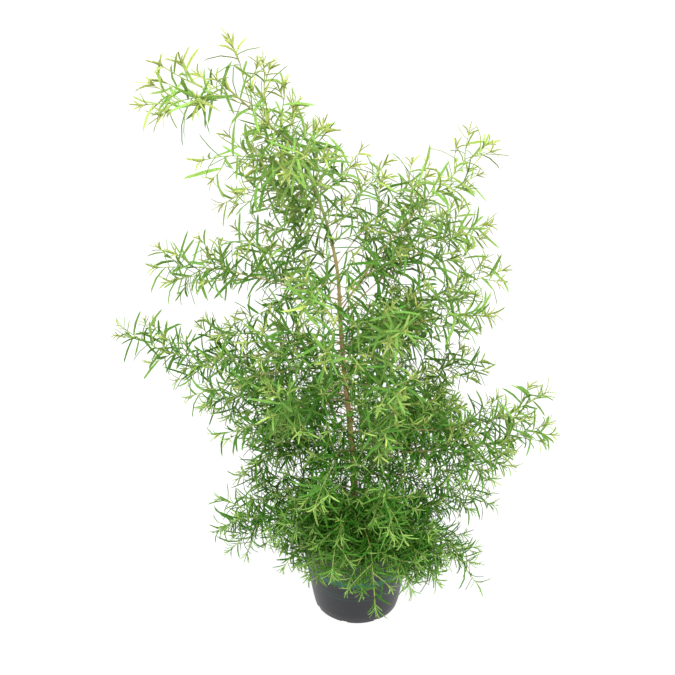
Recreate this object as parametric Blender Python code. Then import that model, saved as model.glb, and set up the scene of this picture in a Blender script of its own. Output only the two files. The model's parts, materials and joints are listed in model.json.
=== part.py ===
"""A potted tea tree: a young, airy shrub with a thin woody trunk that leans and arches at its top,
slender side branches carrying twigs of needle-like leaves, in a nursery pot filled with compost.
Metres, +Z up. The origin is the middle of the pot's flat underside; -Y is the front."""

import math
import random

import bmesh
import bpy
import numpy as np
from mathutils import Matrix, Vector

# The pot
POT_HEIGHT = 0.128
POT_RIM_RADIUS = 0.0855
COLLAR_HEIGHT = 0.023
COLLAR_STEP = 0.0026
COLLAR_TAPER = 0.0010
POT_BASE_RADIUS = 0.063
POT_WALL = 0.0016
POT_FLOOR = 0.0020
LIP_HEIGHT = 0.0030
LIP_OUT = 0.0012
EDGE_ROUND = 0.0008
FOOT_CHAMFER = 0.0015
POT_SIDES = 32
DRAIN_COUNT = 8
DRAIN_WIDTH = 0.009
DRAIN_HEIGHT = 0.0055
DRAIN_INNER_RADIUS = 0.050
DRAIN_FIRST_TURN = math.radians(-107.5)
POT_COLOUR = (0.055, 0.055, 0.062)

# The compost in the pot
SOIL_LEVEL = 0.106
SOIL_SWELL = 0.0018
SOIL_LUMP = 0.0016
SOIL_RINGS = (1.0, 0.78, 0.52, 0.26)
SOIL_COLOUR = (0.045, 0.026, 0.016)
FIT_GAP = 0.0004

# The trunk: the points that its middle line runs through, from its foot in the compost to its top
TRUNK_LINE = [
    (0.000, 0.000, 0.055),
    (0.000, 0.000, 0.112),
    (-0.004, 0.000, 0.200),
    (-0.010, 0.000, 0.290),
    (-0.019, -0.010, 0.380),
    (-0.025, -0.020, 0.465),
    (-0.029, -0.030, 0.540),
    (-0.040, -0.045, 0.600),
    (-0.055, -0.070, 0.655),
    (-0.076, -0.110, 0.715),
    (-0.102, -0.140, 0.745),
    (-0.134, -0.185, 0.785),
]
TRUNK_FOOT_RADIUS = 0.0046
TRUNK_TOP_RADIUS = 0.0007
TRUNK_SIDES = 8
BARK_COLOUR = (0.42, 0.24, 0.13)
TRUNK_STEPS_A_SPAN = 2
TRUNK_HOLE_RADIUS = TRUNK_FOOT_RADIUS + FIT_GAP

# The side branches: the height at which each leaves the trunk, its tip, and how far its line
# lifts above a straight one at a third and at two thirds of its length
CROWN_BRANCHES = [
    (0.780, (-0.213, -0.250, 0.784), (0.006, -0.001)),
    (0.764, (-0.133, -0.190, 0.833), (0.000, 0.006)),
    (0.771, (-0.197, -0.230, 0.818), (-0.002, -0.004)),
    (0.748, (-0.104, -0.170, 0.810), (0.000, 0.002)),
    (0.735, (-0.084, -0.150, 0.788), (0.002, 0.002)),
    (0.722, (-0.139, -0.110, 0.700), (0.008, 0.010)),
    (0.700, (-0.047, -0.078, 0.732), (0.000, 0.000)),
    (0.690, (-0.076, -0.240, 0.715), (0.015, 0.020)),
    (0.672, (-0.170, -0.195, 0.719), (0.008, 0.014)),
]
LEFT_BRANCHES = [
    (0.628, (-0.162, -0.115, 0.651), (0.016, 0.020)),
    (0.582, (-0.129, -0.050, 0.611), (0.005, 0.000)),
    (0.562, (-0.175, -0.010, 0.576), (0.004, 0.000)),
    (0.500, (-0.250, -0.088, 0.566), (0.006, 0.014)),
    (0.470, (-0.186, -0.055, 0.463), (0.000, -0.004)),
    (0.437, (-0.324, 0.000, 0.454), (-0.010, -0.055)),
    (0.398, (-0.213, -0.120, 0.408), (0.012, 0.006)),
    (0.352, (-0.224, 0.048, 0.308), (0.020, 0.010)),
    (0.335, (-0.191, -0.068, 0.323), (0.014, 0.000)),
    (0.270, (-0.167, -0.030, 0.234), (0.028, 0.024)),
    (0.232, (-0.196, -0.078, 0.176), (0.012, 0.008)),
    (0.200, (-0.178, -0.095, 0.157), (0.020, 0.018)),
    (0.186, (-0.109, -0.125, 0.191), (0.020, 0.022)),
    (0.165, (-0.105, -0.095, 0.126), (0.018, 0.018)),
]
RIGHT_BRANCHES = [
    (0.652, (-0.003, -0.090, 0.707), (-0.002, -0.006)),
    (0.590, (0.030, -0.020, 0.678), (0.004, 0.000)),
    (0.550, (0.088, 0.032, 0.662), (0.008, 0.008)),
    (0.480, (0.149, -0.048, 0.708), (0.024, 0.010)),
    (0.470, (0.169, 0.036, 0.584), (0.022, 0.022)),
    (0.425, (0.190, 0.000, 0.533), (0.014, 0.008)),
    (0.385, (0.169, -0.065, 0.497), (0.030, 0.024)),
    (0.322, (0.179, 0.046, 0.380), (0.014, 0.006)),
    (0.290, (0.250, -0.050, 0.378), (-0.006, -0.036)),
    (0.268, (0.249, -0.080, 0.349), (-0.004, -0.028)),
    (0.245, (0.203, -0.095, 0.291), (0.014, 0.016)),
    (0.218, (0.200, 0.000, 0.167), (0.018, 0.008)),
    (0.180, (0.165, -0.048, 0.098), (0.022, 0.022)),
    (0.162, (0.108, -0.115, 0.118), (0.018, 0.022)),
    (0.150, (0.172, -0.085, 0.088), (0.024, 0.040)),
]
FRONT_BRANCHES = [
    (0.520, (-0.067, -0.195, 0.556), (0.014, 0.010)),
    (0.447, (0.048, -0.172, 0.519), (0.010, 0.000)),
    (0.420, (-0.139, -0.150, 0.495), (0.010, 0.004)),
    (0.408, (-0.042, -0.205, 0.507), (0.010, -0.005)),
    (0.365, (0.041, -0.190, 0.446), (0.010, 0.005)),
    (0.342, (-0.109, -0.185, 0.414), (0.010, 0.005)),
    (0.305, (0.028, -0.205, 0.397), (0.010, 0.010)),
    (0.258, (-0.058, -0.182, 0.283), (0.024, 0.028)),
    (0.208, (0.057, -0.162, 0.223), (0.024, 0.028)),
    (0.190, (-0.037, -0.155, 0.160), (0.024, 0.032)),
    (0.158, (0.022, -0.160, 0.103), (0.028, 0.052)),
    (0.142, (0.071, -0.140, 0.125), (0.020, 0.024)),
]
BACK_BRANCHES = [
    (0.490, (0.121, 0.110, 0.574), (0.014, 0.010)),
    (0.455, (-0.141, 0.132, 0.495), (0.018, 0.010)),
    (0.375, (0.103, 0.142, 0.428), (0.018, 0.010)),
    (0.318, (-0.168, 0.100, 0.221), (0.022, 0.014)),
    (0.280, (-0.006, 0.188, 0.335), (0.022, 0.014)),
    (0.240, (0.154, 0.130, 0.273), (0.022, 0.014)),
    (0.172, (0.061, 0.160, 0.151), (0.030, 0.030)),
]
BRANCH_STEPS = 6
BRANCH_RADIUS_A_LENGTH = 0.0052
BRANCH_THINNEST_FOOT = 0.0008
BRANCH_TIP_RADIUS = 0.0007
BRANCH_WANDER = 0.018
STEM_SIDES = 3

# The twigs on a branch
TWIG_SPACING = 0.037
TWIG_FIRST_SHARE = 0.08
TWIG_LAST_SHARE = 0.60
TWIG_LAST_SHARE_RISE = 1.1
TWIG_LAST_SHARE_MOST = 0.92
TWIG_SHORTEST = 0.015
TWIG_LONGEST = 0.092
TWIG_LEAN = math.radians(46)
TWIG_LIFT = 0.08
TWIG_FOOT_RADIUS = 0.0011
TWIG_TIP_REACH = 0.010

# The leaves on a stem
LEAF_LENGTH = 0.034
LEAF_SPACING = 0.0037
LEAF_LEAN = math.radians(70)
TIP_LEAF_LEAN = math.radians(38)
YOUNG_REACH = 0.016
NEEDLE_RADIUS = 0.00095
NEEDLE_THINNESS = 0.45
SOLID_LEAF_EVERY = 20
TIP_LEAVES = 2
LEAF_COLOUR = (0.16, 0.36, 0.07)
CLEAR_GAP = 0.0007

GOLDEN_TURN = math.radians(137.5)
UP = Vector((0, 0, 1))


# Lines that the plant grows along


def smooth_line(points, steps):
    """A Catmull-Rom curve through the points, with that many steps a span."""
    given = [Vector(p) for p in points]
    given = [given[0]] + given + [given[-1]]
    line = []
    for a, b, c, d in zip(given, given[1:], given[2:], given[3:]):
        for k in range(steps):
            t = k / steps
            line.append(0.5 * (2 * b + (c - a) * t + (2 * a - 5 * b + 4 * c - d) * t**2
                               + (3 * b - 3 * c + d - a) * t**3))
    return line + [given[-1]]


def point_at(line, share):
    """The point at that share of a line's steps."""
    place = min(max(share, 0.0), 0.99999) * (len(line) - 1)
    k = int(place)
    return line[k].lerp(line[k + 1], place - k)


def heading_at(line, share):
    """The way a line runs at that share of its steps."""
    return (point_at(line, share + 0.06) - point_at(line, share - 0.06)).normalized()


def length_of(line):
    return sum((b - a).length for a, b in zip(line, line[1:]))


def sideways(ahead, turn):
    """A unit vector square to ahead, turned about it from the level."""
    level = ahead.cross(UP).normalized()
    return Matrix.Rotation(turn, 3, ahead) @ level


def trunk_line():
    return smooth_line(TRUNK_LINE, TRUNK_STEPS_A_SPAN)


def trunk_radius(height):
    low, high = TRUNK_LINE[0][2], TRUNK_LINE[-1][2]
    share = (height - low) / (high - low)
    return TRUNK_FOOT_RADIUS + (TRUNK_TOP_RADIUS - TRUNK_FOOT_RADIUS) * share


def trunk_point(height):
    """The point of the trunk's middle line at that height."""
    line = trunk_line()
    for a, b in zip(line, line[1:]):
        if a.z <= height <= b.z:
            return a.lerp(b, (height - a.z) / (b.z - a.z))
    return line[-1]


def branch_foot_radius(length):
    return max(BRANCH_RADIUS_A_LENGTH * length, BRANCH_THINNEST_FOOT)


def branch_line(height, tip, lifts, chance):
    """A side branch's middle line, from just clear of the trunk's bark to its tip."""
    root, tip = trunk_point(height), Vector(tip)
    chord = tip - root
    near = root + chord / 3 + UP * lifts[0] * 1.5
    far = root + chord * 2 / 3 + UP * lifts[1] * 1.5
    out = (near - root).normalized()
    trunk_way = (trunk_point(height + 0.004) - trunk_point(height - 0.004)).normalized()
    lean = max(out.cross(trunk_way).length, 0.35)
    clear = trunk_radius(height) + FIT_GAP + branch_foot_radius(chord.length) * abs(out.dot(trunk_way))
    start = root + out * clear / lean
    level = chord.cross(UP).normalized() * chord.length * BRANCH_WANDER
    waves = chance.uniform(0, math.tau)
    line = []
    for k in range(BRANCH_STEPS + 1):
        t = k / BRANCH_STEPS
        point = start * (1 - t) ** 3 + near * 3 * t * (1 - t) ** 2 + far * 3 * t**2 * (1 - t) + tip * t**3
        sway = math.sin(waves + 7 * t) * math.sin(math.pi * t)
        line.append(point + level * sway)
    return line


def twig_lines(branch, chance):
    """The twigs of a branch, turned about it by the golden angle and shorter towards its tip."""
    length = length_of(branch)
    count = max(3, round(length / TWIG_SPACING))
    last_share = min(TWIG_LAST_SHARE + TWIG_LAST_SHARE_RISE * length, TWIG_LAST_SHARE_MOST)
    start_turn = chance.uniform(0, math.tau)
    twigs = []
    for k in range(count):
        share = TWIG_FIRST_SHARE + (last_share - TWIG_FIRST_SHARE) * k / (count - 1)
        root, ahead = point_at(branch, share), heading_at(branch, share)
        side = sideways(ahead, start_turn + k * GOLDEN_TURN)
        lean = TWIG_LEAN * chance.uniform(0.8, 1.25)
        reach = TWIG_SHORTEST + TWIG_LONGEST * (1 - share) ** 0.8
        reach *= chance.uniform(0.65, 1.1) * min(1.0, 0.05 + length * 4 + max(0.0, 0.35 - root.z))
        first = (ahead * math.cos(lean) + side * math.sin(lean) + UP * TWIG_LIFT).normalized()
        last = (first + ahead * 0.25 + UP * TWIG_LIFT * 2).normalized()
        middle = root + first * reach * 0.5
        twigs.append([root, middle, middle + last * reach * 0.5])
    return twigs


def leaf_places(stem, bare_share, chance):
    """Where leaves grow on a stem: (root, way, length, share along the stem), spiralling to its tip."""
    leafy = length_of(stem) * (1 - bare_share)
    count = max(4, round(leafy / LEAF_SPACING))
    turn = chance.uniform(0, math.tau)
    places = []
    for k in range(count):
        share = bare_share + (1 - bare_share) * (k + 0.7) / count
        young = max(0.0, 1 - leafy * (count - k - 0.7) / count / YOUNG_REACH)
        ahead = heading_at(stem, share)
        side = sideways(ahead, turn + k * GOLDEN_TURN)
        lean = (LEAF_LEAN + (TIP_LEAF_LEAN - LEAF_LEAN) * young) * chance.uniform(0.8, 1.2)
        way = ahead * math.cos(lean) + side * math.sin(lean)
        length = LEAF_LENGTH * chance.uniform(0.62, 1.08) * (1 - 0.50 * young)
        places.append((point_at(stem, share), way, length, share))
    return places


def all_branches():
    return sorted(CROWN_BRANCHES + LEFT_BRANCHES + RIGHT_BRANCHES + FRONT_BRANCHES + BACK_BRANCHES)


def grow():
    """Every branch as (middle line, twigs, leaf places of the branch, leaf places of each twig)."""
    grown = []
    for number, (height, tip, lifts) in enumerate(all_branches()):
        chance = random.Random(number)
        line = branch_line(height, tip, lifts, chance)
        twigs = twig_lines(line, chance)
        own_leaves = leaf_places(line, 0.22, chance)
        twig_leaves = [leaf_places(twig, 0.10, chance) for twig in twigs]
        grown.append((line, twigs, own_leaves, twig_leaves))
    return grown


# Clearances between the pieces


def segment_gaps(a, b, starts, ends):
    """The least distances from the segment a-b to each of many others."""
    along, others, between = b - a, ends - starts, a - starts
    aa = max(along @ along, 1e-12)
    ee = np.maximum((others * others).sum(1), 1e-12)
    ff = (others * between).sum(1)
    cc = between @ along
    bb = others @ along
    denominator = aa * ee - bb * bb
    s = np.where(denominator > 1e-14, (bb * ff - cc * ee) / np.maximum(denominator, 1e-14), 0.0)
    s = np.clip(s, 0, 1)
    t = np.clip((bb * s + ff) / ee, 0, 1)
    s = np.clip((bb * t - cc) / aa, 0, 1)
    nearest = between + s[:, None] * along - t[:, None] * others
    return np.sqrt((nearest * nearest).sum(1))


class Room:
    """What is taken up so far, as round-ended rods, each with the branch or trunk it belongs to."""

    def __init__(self):
        self.starts = []
        self.ends = []
        self.radii = []
        self.owners = []

    def add(self, a, b, radius, owner):
        self.starts.append(tuple(a))
        self.ends.append(tuple(b))
        self.radii.append(radius)
        self.owners.append(owner)

    def add_line(self, line, radius, owner):
        for a, b in zip(line, line[1:]):
            self.add(a, b, radius, owner)

    def is_free(self, a, b, radius, owner):
        gaps = segment_gaps(np.array(a), np.array(b), np.array(self.starts), np.array(self.ends))
        gaps -= np.array(self.radii) + radius
        foreign = np.array([other != owner for other in self.owners])
        return bool((gaps[foreign] > CLEAR_GAP).all()) and clears_pot(a, b)


def clears_pot(a, b):
    """Whether a rod stays off the pot, the compost and whatever the pot stands on."""
    for k in range(7):
        point = a.lerp(b, k / 6)
        around = math.hypot(point.x, point.y)
        over_pot = point.z > POT_HEIGHT + NEEDLE_RADIUS + 0.004
        in_mouth = around < POT_RIM_RADIUS - 0.012 and point.z > SOIL_LEVEL + 0.008
        beside = around > POT_RIM_RADIUS + 0.005 and point.z > 0.012
        if not (over_pot or in_mouth or beside):
            return False
    return True


# Solids


def material(name, colour, roughness):
    finish = bpy.data.materials.new(name)
    finish.use_nodes = True
    shader = finish.node_tree.nodes["Principled BSDF"]
    shader.inputs["Base Color"].default_value = (*colour, 1)
    shader.inputs["Roughness"].default_value = roughness
    return finish


def new_object(name, bm, finish=None, smooth_angle=None):
    bmesh.ops.recalc_face_normals(bm, faces=bm.faces)
    mesh = bpy.data.meshes.new(name)
    bm.to_mesh(mesh)
    bm.free()
    if smooth_angle is not None:
        mesh.shade_smooth()
        mesh.set_sharp_from_angle(angle=math.radians(smooth_angle))
    if finish is not None:
        mesh.materials.append(finish)
    piece = bpy.data.objects.new(name, mesh)
    bpy.context.scene.collection.objects.link(piece)
    return piece


def tube(line, radii, sides, thinness=1.0):
    """A closed tube along a line; a radius of 0 at an end makes that end a point."""
    bm = bmesh.new()
    rings = []
    across = (line[1] - line[0]).cross(UP).cross(line[1] - line[0])
    if across.length < 1e-9:
        across = (line[1] - line[0]).orthogonal()
    for k, (point, radius) in enumerate(zip(line, radii)):
        ahead = (line[min(k + 1, len(line) - 1)] - line[max(k - 1, 0)]).normalized()
        across = (across - ahead * across.dot(ahead)).normalized()
        over = ahead.cross(across)
        if radius == 0:
            rings.append([bm.verts.new(point)])
            continue
        ring = []
        for j in range(sides):
            turn = math.tau * j / sides
            ring.append(bm.verts.new(point + across * math.cos(turn) * radius * thinness
                                     + over * math.sin(turn) * radius))
        rings.append(ring)
    for low, high in zip(rings, rings[1:]):
        for j in range(sides):
            corners = [low[j % len(low)], low[(j + 1) % len(low)],
                       high[(j + 1) % len(high)], high[j % len(high)]]
            bm.faces.new(dict.fromkeys(corners))
    for ring in (rings[0], rings[-1]):
        if len(ring) > 1:
            bm.faces.new(ring)
    return bm


def turned(profile, sides):
    """A closed solid of revolution about Z; the profile is (radius, height) from axis to axis."""
    bm = bmesh.new()
    rings = []
    for radius, height in profile:
        if radius == 0:
            rings.append([bm.verts.new((0, 0, height))])
            continue
        rings.append([bm.verts.new((radius * math.cos(math.tau * j / sides),
                                    radius * math.sin(math.tau * j / sides), height))
                      for j in range(sides)])
    for low, high in zip(rings, rings[1:]):
        for j in range(sides):
            corners = [low[j % len(low)], low[(j + 1) % len(low)],
                       high[(j + 1) % len(high)], high[j % len(high)]]
            bm.faces.new(dict.fromkeys(corners))
    return bm


def union_of(name, solids, finish):
    """One solid out of many that overlap, the first of them the core of the rest."""
    core, rest = solids[0], solids[1:]
    grown = bpy.data.collections.new(name + "_parts")
    bpy.context.scene.collection.children.link(grown)
    for solid in rest:
        bpy.context.scene.collection.objects.unlink(solid)
        grown.objects.link(solid)
    joined = core.modifiers.new("Join", "BOOLEAN")
    joined.operation = "UNION"
    joined.operand_type = "COLLECTION"
    joined.collection = grown
    joined.solver = "MANIFOLD"
    shape = core.evaluated_get(bpy.context.evaluated_depsgraph_get())
    mesh = bpy.data.meshes.new_from_object(shape)
    mesh.name = name
    mesh.materials.clear()
    mesh.materials.append(finish)
    piece = bpy.data.objects.new(name, mesh)
    bpy.context.scene.collection.objects.link(piece)
    for solid in solids:
        bpy.data.objects.remove(solid)
    bpy.data.collections.remove(grown)
    return piece


# The pot and what it holds


def pot_wall_radius(height):
    """The outer radius of the pot's tapering body at a height."""
    top = POT_HEIGHT - COLLAR_HEIGHT
    under_collar = POT_RIM_RADIUS - COLLAR_STEP - COLLAR_TAPER
    return POT_BASE_RADIUS + (under_collar - POT_BASE_RADIUS) * height / top


def pot_inner_radius(height):
    """The inner radius of the pot at a height; the wall steps out at the collar."""
    collar_low = POT_HEIGHT - COLLAR_HEIGHT
    if height < collar_low + POT_WALL:
        return pot_wall_radius(height) - POT_WALL
    share = (height - collar_low) / COLLAR_HEIGHT
    return POT_RIM_RADIUS - LIP_OUT - COLLAR_TAPER * (1 - share) - POT_WALL


def make_pot():
    collar_low = POT_HEIGHT - COLLAR_HEIGHT
    lip_low = POT_HEIGHT - LIP_HEIGHT
    profile = [
        (0, 0),
        (POT_BASE_RADIUS - FOOT_CHAMFER, 0),
        (POT_BASE_RADIUS, FOOT_CHAMFER),
        (pot_wall_radius(collar_low), collar_low),
        (POT_RIM_RADIUS - LIP_OUT - COLLAR_TAPER, collar_low),
        (POT_RIM_RADIUS - LIP_OUT, lip_low),
        (POT_RIM_RADIUS, lip_low),
        (POT_RIM_RADIUS, POT_HEIGHT - EDGE_ROUND),
        (POT_RIM_RADIUS - EDGE_ROUND, POT_HEIGHT),
        (POT_RIM_RADIUS - LIP_OUT - POT_WALL, POT_HEIGHT),
        (pot_inner_radius(collar_low + POT_WALL), collar_low + POT_WALL),
        (pot_inner_radius(collar_low), collar_low - EDGE_ROUND),
        (pot_inner_radius(POT_FLOOR), POT_FLOOR),
        (0, POT_FLOOR),
    ]
    pot = new_object("pot", turned(profile, POT_SIDES), material("pot_plastic", POT_COLOUR, 0.42), 35)
    for k in range(DRAIN_COUNT):
        turn = DRAIN_FIRST_TURN + math.tau * k / DRAIN_COUNT
        bm = bmesh.new()
        bmesh.ops.create_cube(bm, size=1)
        deep = POT_BASE_RADIUS + DRAIN_HEIGHT - DRAIN_INNER_RADIUS
        bmesh.ops.scale(bm, verts=bm.verts, vec=(deep, DRAIN_WIDTH, DRAIN_HEIGHT * 2))
        bmesh.ops.translate(bm, verts=bm.verts, vec=(DRAIN_INNER_RADIUS + deep / 2, 0, 0))
        bmesh.ops.rotate(bm, verts=bm.verts, matrix=Matrix.Rotation(turn, 3, "Z"))
        cutter = new_object(f"drain_cutter_{k}", bm)
        cutter.hide_render = True
        cutter.display_type = "WIRE"
        cut = pot.modifiers.new(f"Drain {k}", "BOOLEAN")
        cut.operation = "DIFFERENCE"
        cut.object = cutter


def make_soil():
    """The compost: it fills the pot to its level, lumpy on top, with a plain hole for the trunk."""
    bottom = POT_FLOOR + FIT_GAP
    collar_low = POT_HEIGHT - COLLAR_HEIGHT
    hole_bottom = TRUNK_LINE[0][2] - FIT_GAP
    edge = pot_inner_radius(collar_low - 2 * POT_WALL) - FIT_GAP
    rings = [(edge * share, SOIL_LEVEL + SOIL_SWELL * (1 - share)) for share in SOIL_RINGS]
    profile = [
        (0, bottom),
        (pot_inner_radius(bottom) - FIT_GAP, bottom),
        (edge, collar_low - 2 * POT_WALL),
        *rings,
        (TRUNK_HOLE_RADIUS, SOIL_LEVEL + SOIL_SWELL),
        (TRUNK_HOLE_RADIUS, hole_bottom),
        (0, hole_bottom),
    ]
    bm = turned(profile, POT_SIDES)
    chance = random.Random(7)
    for vert in bm.verts:
        around = math.hypot(vert.co.x, vert.co.y)
        if vert.co.z > SOIL_LEVEL and TRUNK_HOLE_RADIUS * 2 < around < edge * 0.9:
            vert.co.z += chance.uniform(-1, 1) * SOIL_LUMP
    new_object("soil", bm, material("compost", SOIL_COLOUR, 0.95))


def make_trunk():
    line = trunk_line()
    radii = [trunk_radius(point.z) for point in line]
    new_object("trunk", tube(line, radii, TRUNK_SIDES), material("bark", BARK_COLOUR, 0.8), 50)


# The leafy branches


def needle(a, b, radius):
    """A leaf in the solid: three-sided, flatter than it is wide, and pointed."""
    return new_object("needle", tube([a, b], [radius, 0], 3, NEEDLE_THINNESS))


def chosen_leaves(own_leaves, kept_twigs):
    """The leaves that the solid shows: some along the stem and each twig, and the stem's last."""
    chosen = list(own_leaves[-TIP_LEAVES:]) + own_leaves[2:-TIP_LEAVES:SOLID_LEAF_EVERY * 2]
    for leaves in kept_twigs:
        chosen += leaves[SOLID_LEAF_EVERY // 2::SOLID_LEAF_EVERY]
    return chosen


def straightened(twig, leaves, tip):
    """The leaves of a bent twig, moved with their roots onto the straight line that stands for it."""
    return [(twig[0].lerp(tip, share * length_of(twig) / (tip - twig[0]).length), way, length, share)
            for root, way, length, share in leaves]


def stem_solid(line):
    """A branch's main stem, tapering from its foot to the point of its last leaf."""
    foot = branch_foot_radius(length_of(line))
    radii = [foot + (BRANCH_TIP_RADIUS - foot) * k / BRANCH_STEPS for k in range(BRANCH_STEPS)]
    return new_object("stem", tube(line, radii + [0], STEM_SIDES))


def make_branches():
    grown = grow()
    room = Room()
    room.add_line(trunk_line(), TRUNK_FOOT_RADIUS, "trunk")
    for number, (line, *_) in enumerate(grown):
        room.add_line(line, branch_foot_radius(length_of(line)), number)
    finish = material("leaf", LEAF_COLOUR, 0.5)
    for number, (line, twigs, own_leaves, twig_leaves) in enumerate(grown):
        solids = [stem_solid(line)]
        kept = []
        for twig, leaves in zip(twigs, twig_leaves):
            root, tip = twig[0], twig[-1] + (twig[-1] - twig[1]).normalized() * TWIG_TIP_REACH
            if room.is_free(root, tip, TWIG_FOOT_RADIUS, number):
                room.add(root, tip, TWIG_FOOT_RADIUS, number)
                solids.append(new_object("twig", tube([root, tip], [TWIG_FOOT_RADIUS, 0], 3)))
                kept.append(straightened(twig, leaves, tip))
        for root, way, length, share in chosen_leaves(own_leaves, kept):
            tip = root + way * length
            if room.is_free(root, tip, NEEDLE_RADIUS, number):
                room.add(root, tip, NEEDLE_RADIUS, number)
                solids.append(needle(root, tip, NEEDLE_RADIUS))
        union_of(f"branch_{number + 1:02d}", solids, finish)


def main():
    for old in list(bpy.data.objects):
        bpy.data.objects.remove(old)
    make_pot()
    make_soil()
    make_trunk()
    make_branches()


if __name__ == "__main__":
    main()
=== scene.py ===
import json
import math
import random

import bpy
import numpy as np
from mathutils import Matrix, Vector

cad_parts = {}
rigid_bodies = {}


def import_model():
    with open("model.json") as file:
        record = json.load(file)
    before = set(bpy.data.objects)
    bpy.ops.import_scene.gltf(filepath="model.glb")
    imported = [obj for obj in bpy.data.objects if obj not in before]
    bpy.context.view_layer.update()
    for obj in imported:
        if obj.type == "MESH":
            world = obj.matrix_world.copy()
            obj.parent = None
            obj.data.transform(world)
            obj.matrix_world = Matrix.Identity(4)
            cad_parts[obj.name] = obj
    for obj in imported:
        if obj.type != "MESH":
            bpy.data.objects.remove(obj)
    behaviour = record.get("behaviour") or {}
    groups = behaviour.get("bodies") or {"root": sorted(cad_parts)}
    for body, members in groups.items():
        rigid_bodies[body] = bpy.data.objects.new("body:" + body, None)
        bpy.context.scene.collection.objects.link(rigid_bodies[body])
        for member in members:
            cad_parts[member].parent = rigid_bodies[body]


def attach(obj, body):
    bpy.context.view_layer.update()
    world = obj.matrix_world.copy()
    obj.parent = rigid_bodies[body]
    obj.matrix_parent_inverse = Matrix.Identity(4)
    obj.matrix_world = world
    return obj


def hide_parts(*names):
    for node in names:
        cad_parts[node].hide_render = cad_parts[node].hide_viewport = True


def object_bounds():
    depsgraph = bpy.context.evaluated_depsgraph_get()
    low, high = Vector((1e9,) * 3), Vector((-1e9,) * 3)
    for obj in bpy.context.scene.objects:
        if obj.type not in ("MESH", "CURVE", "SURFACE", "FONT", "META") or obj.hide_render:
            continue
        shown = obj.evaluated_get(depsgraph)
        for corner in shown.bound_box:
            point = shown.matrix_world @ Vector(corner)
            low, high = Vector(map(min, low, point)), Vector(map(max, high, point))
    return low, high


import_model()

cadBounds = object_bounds()
up = Vector((0, 0, 1))
goldenTurn = math.radians(137.5)


# Small helpers

def clamped(value, most=1.0):
    return min(max(value, 0.0), most)


def deselectAll():
    for item in bpy.context.view_layer.objects:
        item.select_set(False)


def makeActive(piece):
    deselectAll()
    piece.select_set(True)
    bpy.context.view_layer.objects.active = piece


def addShape(operator, **settings):
    # a primitive, with nothing else selected
    deselectAll()
    operator(**settings)
    return bpy.context.object


def addObject(name, data):
    made = bpy.data.objects.new(name, data)
    bpy.context.scene.collection.objects.link(made)
    return made


def editAll(piece, what="VERT"):
    # edit mode with everything selected
    makeActive(piece)
    bpy.ops.object.mode_set(mode="EDIT")
    bpy.ops.mesh.select_mode(type=what)
    bpy.ops.mesh.select_all(action="SELECT")


def objectMode():
    bpy.ops.object.mode_set(mode="OBJECT")


def pickParts(piece, kind, wanted):
    # leaves edit mode and comes back with just the wanted vertices or polygons selected
    bpy.ops.mesh.select_all(action="DESELECT")
    objectMode()
    for part in getattr(piece.data, kind):
        part.select = bool(wanted(part))
    bpy.ops.object.mode_set(mode="EDIT")


def extrudeBy(move, scale):
    bpy.ops.mesh.extrude_region_move(TRANSFORM_OT_translate={"value": move})
    bpy.ops.transform.resize(value=scale)


def turnFacesOut():
    bpy.ops.mesh.select_all(action="SELECT")
    bpy.ops.mesh.normals_make_consistent(inside=False)


def applyModifiers(piece):
    makeActive(piece)
    for modifier in list(piece.modifiers):
        bpy.ops.object.modifier_apply(modifier=modifier.name)


def settle(piece, smoothTo):
    # puts the object at the origin with its place in its mesh, shaded smooth up to an angle in degrees
    makeActive(piece)
    bpy.ops.object.transform_apply(location=True, rotation=True, scale=True)
    bpy.ops.object.shade_smooth_by_angle(angle=math.radians(smoothTo))


def joinPieces(pieces, name):
    makeActive(pieces[0])
    for piece in pieces:
        piece.select_set(True)
    bpy.ops.object.join()
    pieces[0].name = pieces[0].data.name = name
    return pieces[0]


def addAttribute(piece, name, values):
    layer = piece.data.attributes.new(name, "FLOAT", "POINT")
    layer.data.foreach_set("value", np.asarray(values, np.float32))


# Small helpers for materials

def newMaterial(name, sockets):
    finish = bpy.data.materials.new(name)
    finish.use_nodes = True
    shader = finish.node_tree.nodes["Principled BSDF"]
    for socket, value in sockets.items():
        shader.inputs[socket].default_value = value
    return finish


def addNode(finish, kind, inputs=None, **settings):
    made = finish.node_tree.nodes.new(kind)
    for name, value in settings.items():
        setattr(made, name, value)
    for socket, value in (inputs or {}).items():
        if isinstance(value, bpy.types.NodeSocket):
            finish.node_tree.links.new(value, made.inputs[socket])
        else:
            made.inputs[socket].default_value = value
    return made


def toShader(finish, socket, value):
    shader = finish.node_tree.nodes["Principled BSDF"]
    finish.node_tree.links.new(value, shader.inputs[socket])


def attributeOf(finish, name):
    return addNode(finish, "ShaderNodeAttribute", attribute_name=name).outputs["Fac"]


def objectPlace(finish, scale=(1, 1, 1)):
    place = addNode(finish, "ShaderNodeTexCoord").outputs["Object"]
    return addNode(finish, "ShaderNodeMapping", {"Vector": place, "Scale": scale}).outputs["Vector"]


def heightOf(finish, place):
    return addNode(finish, "ShaderNodeSeparateXYZ", {"Vector": place}).outputs["Z"]


def noise(finish, place, scale, detail=3.0, rough=0.55):
    made = addNode(finish, "ShaderNodeTexNoise",
                   {"Vector": place, "Scale": scale, "Detail": detail, "Roughness": rough})
    return made.outputs["Fac"]


def maths(finish, operation, a, b=0.0, clamp=False):
    made = addNode(finish, "ShaderNodeMath", {0: a, 1: b}, operation=operation, use_clamp=clamp)
    return made.outputs[0]


def weighted(finish, first, firstShare, second, secondShare):
    return maths(finish, "ADD", maths(finish, "MULTIPLY", first, firstShare),
                 maths(finish, "MULTIPLY", second, secondShare))


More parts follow.
